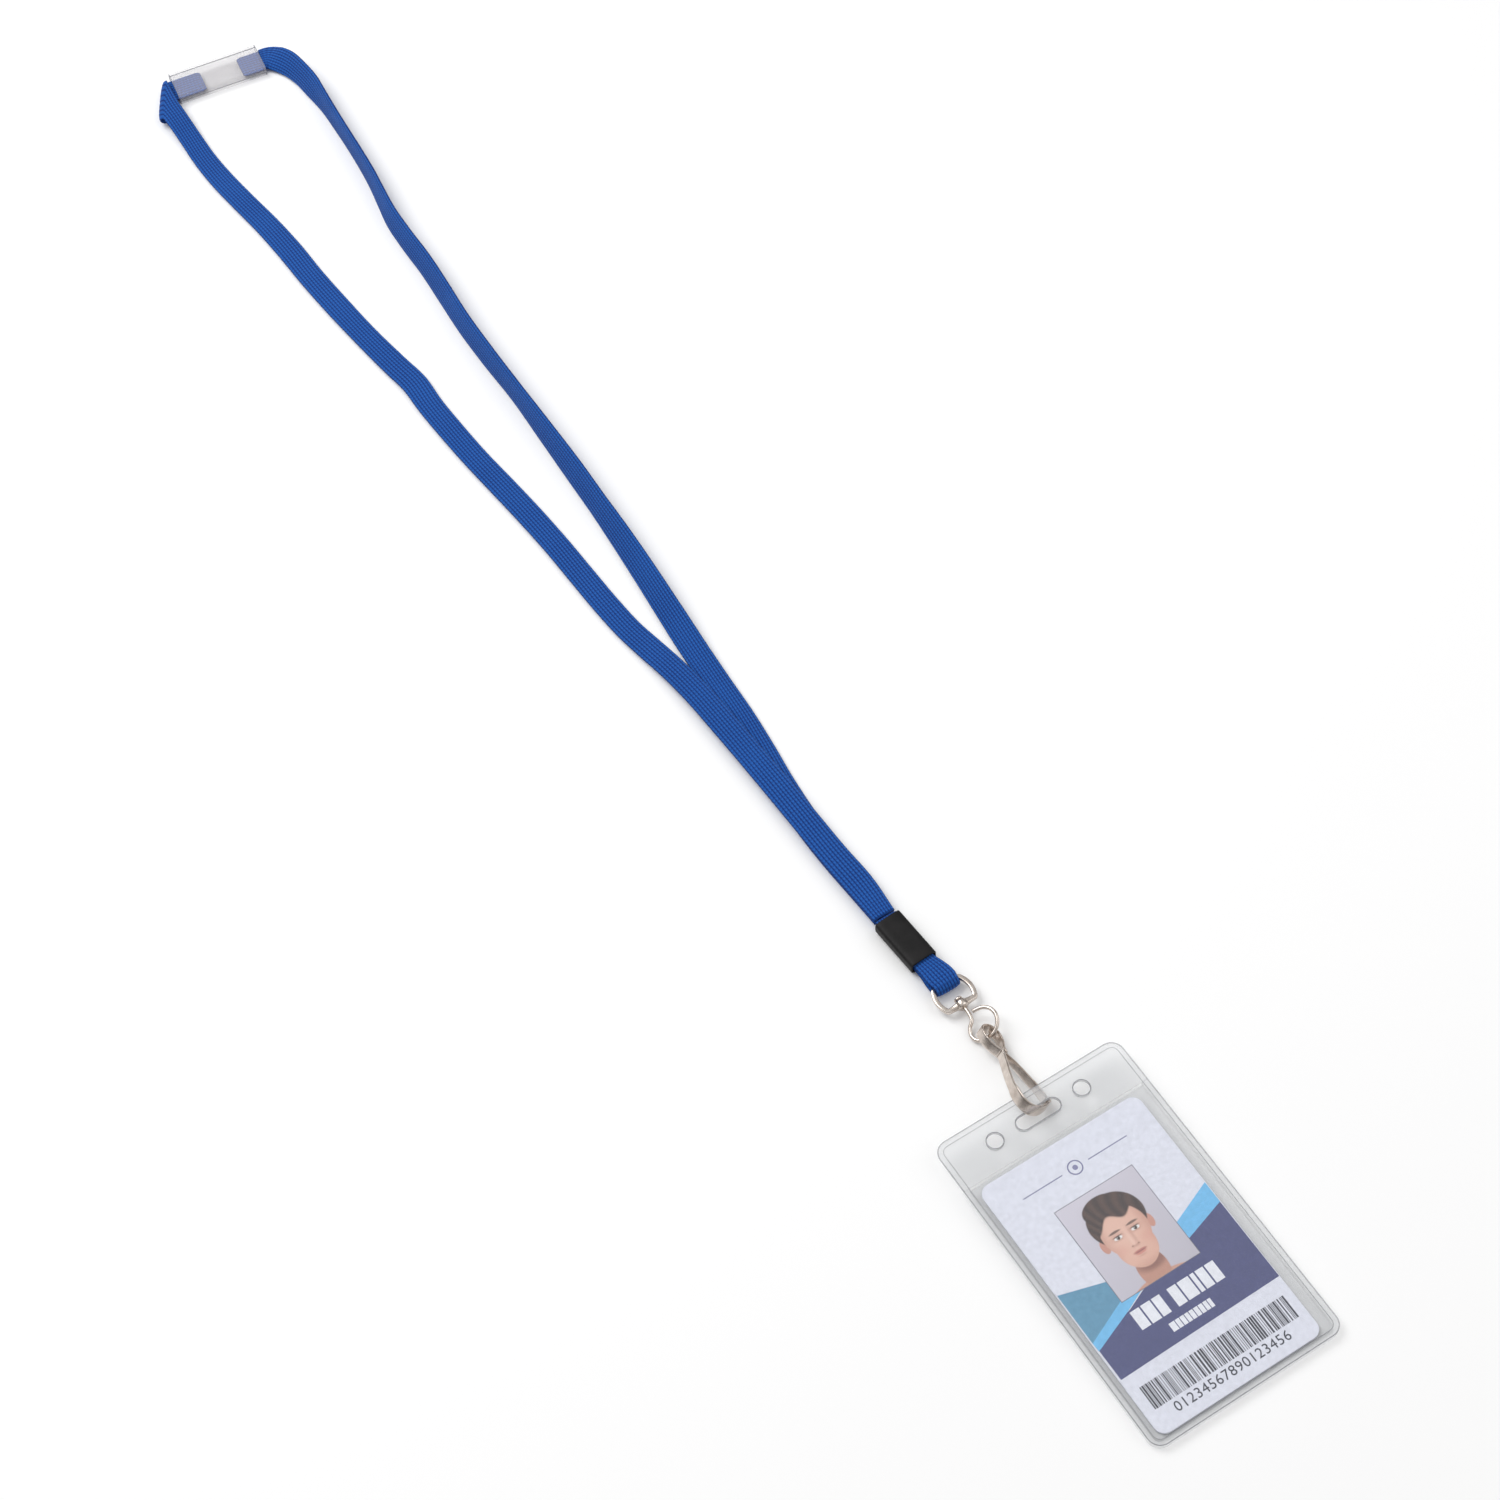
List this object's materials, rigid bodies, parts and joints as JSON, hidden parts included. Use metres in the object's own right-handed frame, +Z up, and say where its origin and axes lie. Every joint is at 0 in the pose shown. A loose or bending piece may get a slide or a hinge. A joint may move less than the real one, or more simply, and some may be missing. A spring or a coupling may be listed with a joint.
{
  "type": "lanyard badge holder",
  "caption": "Flat woven neck lanyard with a pull-apart clear tube, crimp sleeve, swivel J-hook and a clear slotted pouch holding a printed card.",
  "frame": {"origin": "on the table under the middle of the box of everything but the two free strap strands", "axes": "+Z up off the table, +Y along the lanyard from the pouch to the breakaway tube, +X across the pouch to its right"},
  "size_m": [0.0628, 0.6118, 0.0095],
  "materials": {
    "strap": "flat tubular woven cord, royal blue, fine lengthwise ribs",
    "sleeve": "matte black moulded sleeve",
    "nickel": "nickel-plated steel, slightly warm",
    "clear_vinyl": "clear flexible vinyl sheet, gloss",
    "frosted_tube": "milky clear vinyl tube, satin",
    "card": "printed plastic card, satin"
  },
  "bodies": {
    "strap": {"strap_left_strand": "strap", "strap_right_strand": "strap", "strap_ring_loop": "strap", "crimp_sleeve": "sleeve", "strap_end_left": "strap", "breakaway_tube": "frosted_tube"},
    "right_end": {"strap_end_right": "strap"},
    "ring": {"d_ring": "nickel"},
    "swivel_eye": {"wire_eye": "nickel"},
    "hook": {"hook_body": "nickel"},
    "gate": {"hook_gate": "nickel"},
    "pouch": {"pouch_front": "clear_vinyl", "pouch_header_back": "clear_vinyl", "pouch_back": "clear_vinyl"},
    "badge_card": {"id_card": "card"}
  },
  "joints": [
    {"name": "breakaway_pull", "type": "slide", "parent": "strap", "child": "right_end", "axis": [0.988, -0.1547, 0], "range_m": [0, 0.012], "deforming": ["strap_right_strand"]},
    {"name": "ring_swing", "type": "hinge", "parent": "strap", "child": "ring", "pos_m": [0.0024, -0.15842, 0.0026], "axis": [1, 0, 0], "range_deg": [-60, 75]},
    {"name": "swivel_turn", "type": "hinge", "parent": "ring", "child": "swivel_eye", "pos_m": [0.0024, -0.16592, 0.0026], "axis": [0, 1, 0], "continuous": true},
    {"name": "hook_swing", "type": "hinge", "parent": "swivel_eye", "child": "hook", "pos_m": [0.0024, -0.17942, 0.0026], "axis": [0.5878, 0, 0.809], "range_deg": [-25, 25]},
    {"name": "gate_open", "type": "hinge", "parent": "hook", "child": "gate", "pos_m": [0.00268, -0.18752, 0.00339], "axis": [-0.5878, 0, -0.809], "range_deg": [0, 3], "stiffness_Nm_per_rad": 0.02},
    {"name": "pouch_turn", "type": "hinge", "parent": "hook", "child": "pouch", "pos_m": [0.0002, -0.20722, 0.0046], "axis": [0, 1, 0], "range_deg": [-100, 0]},
    {"name": "card_slide", "type": "slide", "parent": "pouch", "child": "badge_card", "axis": [0, 0.9997, 0.0262], "range_m": [0, 0.009]}
  ]
}
